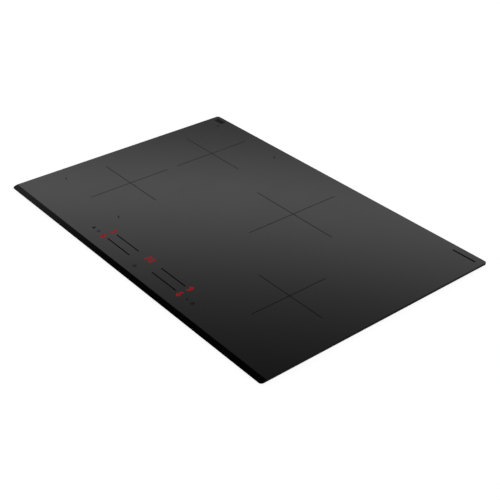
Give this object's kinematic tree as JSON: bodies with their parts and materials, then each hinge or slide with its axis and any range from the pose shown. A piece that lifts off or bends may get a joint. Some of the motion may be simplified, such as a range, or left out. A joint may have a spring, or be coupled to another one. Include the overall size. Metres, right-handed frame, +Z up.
{
  "type": "electric induction cooktop",
  "caption": "Built-in induction cooktop: a flat black glass plate over a sheet steel casing that holds coils, power boards, blowers and touch controls.",
  "frame": {"origin": "under the middle of the glass plate, level with the flat underside of the casing", "axes": "+X to the cook's right along the 780 mm width, +Y to the rear, +Z up through the glass"},
  "size_m": [0.78, 0.52, 0.044],
  "materials": {
    "black_glass": "polished glass-ceramic, black print beneath",
    "foam_seal": "closed-cell foam tape",
    "zinc_steel": "zinc-coated sheet",
    "aluminium": "mill finish",
    "ferrite": "sintered, matt",
    "former_plastic": "moulded, heat resistant",
    "copper_winding": "enamelled litz wire",
    "mica": "pressed mica sheet",
    "silicone": "matt silicone",
    "circuit_board": "solder resist with soldered parts",
    "black_plastic": "moulded, fine texture",
    "display_red": "lit red seven-segment display",
    "terminal_plastic": "moulded",
    "spring_steel": "pressed strip",
    "cable_black": "insulation",
    "cable_white": "glass-fibre sleeve"
  },
  "bodies": {
    "casing": {"cable_gland": "cable_black", "casing_tray": "zinc_steel", "coil_carrier_sheet": "aluminium", "coil_former_left_front": "former_plastic", "coil_former_left_rear": "former_plastic", "coil_former_middle_rear": "former_plastic", "coil_former_right_front": "former_plastic", "coil_lead_left_front": "cable_white", "coil_lead_left_rear": "cable_white", "coil_lead_middle_rear": "cable_white", "coil_lead_right_front": "cable_white", "coil_sensor_left_front": "silicone", "coil_sensor_left_rear": "silicone", "coil_sensor_middle_rear": "silicone", "coil_sensor_right_front": "silicone", "coil_winding_left_front": "copper_winding", "coil_winding_left_rear": "copper_winding", "coil_winding_middle_rear": "copper_winding", "coil_winding_right_front": "copper_winding", "control_board": "circuit_board", "control_carrier": "black_plastic", "control_ribbon": "cable_white", "display_left": "display_red", "display_right": "display_red", "display_timer": "display_red", "fan_housing_left": "black_plastic", "fan_housing_right": "black_plastic", "ferrite_star_left_front": "ferrite", "ferrite_star_left_rear": "ferrite", "ferrite_star_middle_rear": "ferrite", "ferrite_star_right_front": "ferrite", "filter_board": "circuit_board", "glass_rail_front": "aluminium", "glass_rail_left": "aluminium", "glass_rail_rear": "aluminium", "glass_rail_right": "aluminium", "glass_top": "black_glass", "heat_sink_left": "aluminium", "heat_sink_right": "aluminium", "mains_harness": "cable_black", "mica_disc_left_front": "mica", "mica_disc_left_rear": "mica", "mica_disc_middle_rear": "mica", "mica_disc_right_front": "mica", "power_board_left": "circuit_board", "power_board_right": "circuit_board", "power_harness": "cable_black", "terminal_block": "terminal_plastic", "worktop_seal": "foam_seal"},
    "fan_left": {"fan_rotor_left": "black_plastic"},
    "fan_right": {"fan_rotor_right": "black_plastic"},
    "terminal_door": {"terminal_cover": "black_plastic"},
    "clamp_front_left": {"worktop_clamp_front_left": "spring_steel", "clamp_screw_front_left": "zinc_steel"},
    "clamp_front_right": {"worktop_clamp_front_right": "spring_steel", "clamp_screw_front_right": "zinc_steel"},
    "clamp_rear_left": {"worktop_clamp_rear_left": "spring_steel", "clamp_screw_rear_left": "zinc_steel"},
    "clamp_rear_right": {"worktop_clamp_rear_right": "spring_steel", "clamp_screw_rear_right": "zinc_steel"}
  },
  "joints": [
    {"name": "fan_left_spin", "type": "hinge", "parent": "casing", "child": "fan_left", "pos_m": [-0.297, 0.17, 0.012], "axis": [0, 0, 1], "continuous": true},
    {"name": "fan_right_spin", "type": "hinge", "parent": "casing", "child": "fan_right", "pos_m": [0.297, 0.17, 0.012], "axis": [0, 0, 1], "continuous": true},
    {"name": "terminal_cover_hinge", "type": "hinge", "parent": "casing", "child": "terminal_door", "pos_m": [-0.105, 0.2423, 0.0026], "axis": [-1, 0, 0], "range_deg": [0, 90]},
    {"name": "clamp_front_left_turn", "type": "hinge", "parent": "casing", "child": "clamp_front_left", "pos_m": [-0.358, -0.15, 0.003], "axis": [0, 0, 1], "range_deg": [0, 90]},
    {"name": "clamp_front_right_turn", "type": "hinge", "parent": "casing", "child": "clamp_front_right", "pos_m": [0.358, -0.15, 0.003], "axis": [0, 0, -1], "range_deg": [0, 90]},
    {"name": "clamp_rear_left_turn", "type": "hinge", "parent": "casing", "child": "clamp_rear_left", "pos_m": [-0.358, 0.15, 0.003], "axis": [0, 0, -1], "range_deg": [0, 90]},
    {"name": "clamp_rear_right_turn", "type": "hinge", "parent": "casing", "child": "clamp_rear_right", "pos_m": [0.358, 0.15, 0.003], "axis": [0, 0, 1], "range_deg": [0, 90]}
  ]
}
